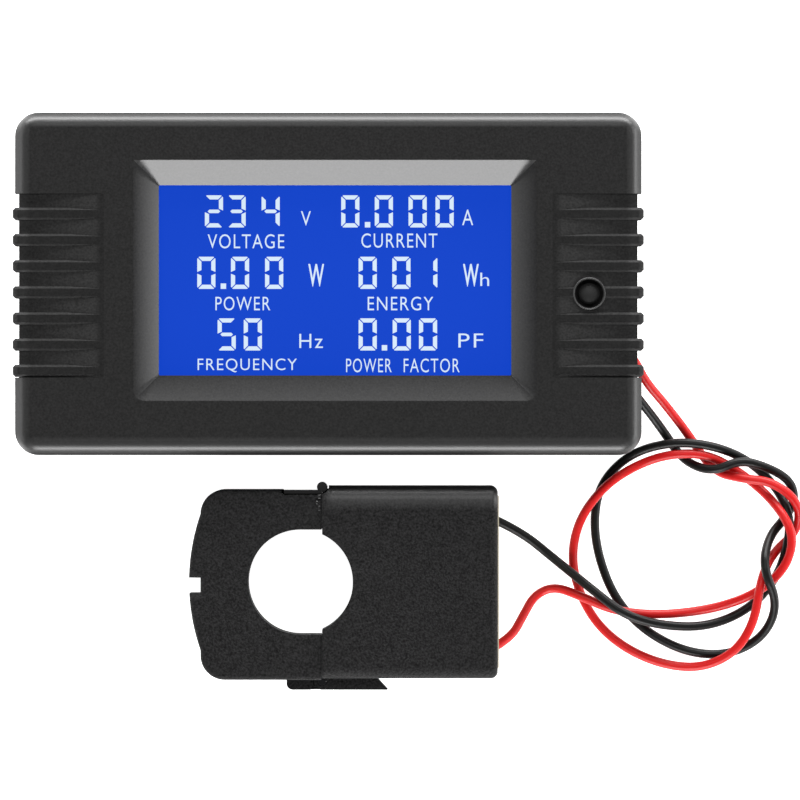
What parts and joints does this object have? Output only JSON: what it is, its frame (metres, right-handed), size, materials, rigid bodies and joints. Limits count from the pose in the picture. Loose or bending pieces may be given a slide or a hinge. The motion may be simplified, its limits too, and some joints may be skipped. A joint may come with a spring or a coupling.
{
  "type": "ac power meter",
  "caption": "Black panel power meter with a bevelled blue display, ribbed grips and a push button, wired by two loose leads to a split-core current transformer.",
  "frame": {"origin": "centre of the flat back of the meter's case, on the surface that the meter and the transformer lie on", "axes": "+Z out of the display, away from the back; +Y towards the top edge of the display; +X to the right of the display, towards the push button"},
  "size_m": [0.1134, 0.0826, 0.0244],
  "materials": {
    "case_plastic": "fine-grained black moulding",
    "button_plastic": "smooth black moulding",
    "display_film": "blue polarising film",
    "display_glass": "blue backlit display glass",
    "light_guide": "clear acrylic",
    "white_plastic": "white moulding",
    "board": "green laminate",
    "chip_plastic": "black moulded package",
    "tin": "tinned",
    "steel": "zinc-plated steel",
    "spring_steel": "spring steel strip",
    "terminal_plastic": "green terminal moulding",
    "capacitor_box": "yellow capacitor box",
    "capacitor_can": "sleeved can",
    "varistor_lacquer": "blue lacquer",
    "resistor_body": "pale blue lacquer",
    "ct_plastic": "smooth black moulding",
    "potting": "cream casting compound",
    "ferrite": "ferrite",
    "copper_winding": "enamelled copper winding",
    "bobbin_plastic": "natural nylon",
    "black_insulation": "black lead insulation",
    "red_insulation": "red lead insulation"
  },
  "bodies": {
    "meter_and_transformer": {"front_shell": "case_plastic", "rear_shell": "case_plastic", "case_screws": "steel", "main_board": "board", "display_front_film": "display_film", "display_front_glass": "display_glass", "display_rear_glass": "display_glass", "display_rear_film": "display_film", "light_guide": "light_guide", "reflector_sheet": "white_plastic", "backlight_leds": "white_plastic", "display_holder": "white_plastic", "display_pins": "tin", "switch_base": "steel", "terminal_block": "terminal_plastic", "terminal_clamps": "tin", "terminal_screws": "steel", "terminal_pins": "tin", "lead_ferrules": "tin", "metering_chip": "chip_plastic", "microcontroller": "chip_plastic", "memory_chip": "chip_plastic", "clock_crystal": "steel", "film_capacitor": "capacitor_box", "electrolytic_capacitor": "capacitor_can", "varistor": "varistor_lacquer", "rectifier_diodes": "chip_plastic", "divider_resistors": "chip_plastic", "burden_resistors": "resistor_body", "ct_body_shell": "ct_plastic", "ct_hinge_pin": "steel", "ct_potting": "potting", "ct_core_fixed": "ferrite", "ct_bobbin": "bobbin_plastic", "ct_winding": "copper_winding", "ct_lead_black": "black_insulation", "ct_lead_red": "red_insulation"},
    "button": {"button_cap": "button_plastic", "switch_plunger": "button_plastic"},
    "transformer_jaw": {"ct_jaw_shell": "ct_plastic", "ct_core_jaw": "ferrite", "ct_core_spring": "spring_steel"},
    "jaw_catch": {"ct_catch": "ct_plastic"}
  },
  "joints": [
    {"name": "button_press", "type": "slide", "parent": "meter_and_transformer", "child": "button", "axis": [0, 0, -1], "range_m": [0, 0.0003], "stiffness_N_per_m": 3000, "springref_m": -0.0002},
    {"name": "jaw_hinge", "type": "hinge", "parent": "meter_and_transformer", "child": "transformer_jaw", "pos_m": [-0.00089, -0.0569, 0.011], "axis": [0, 0, 1], "range_deg": [0, 80]},
    {"name": "catch_flex", "type": "hinge", "parent": "transformer_jaw", "child": "jaw_catch", "pos_m": [-0.00634, -0.0297, 0.011], "axis": [0, 0, 1], "range_deg": [0, 6], "stiffness_Nm_per_rad": 0.3}
  ]
}
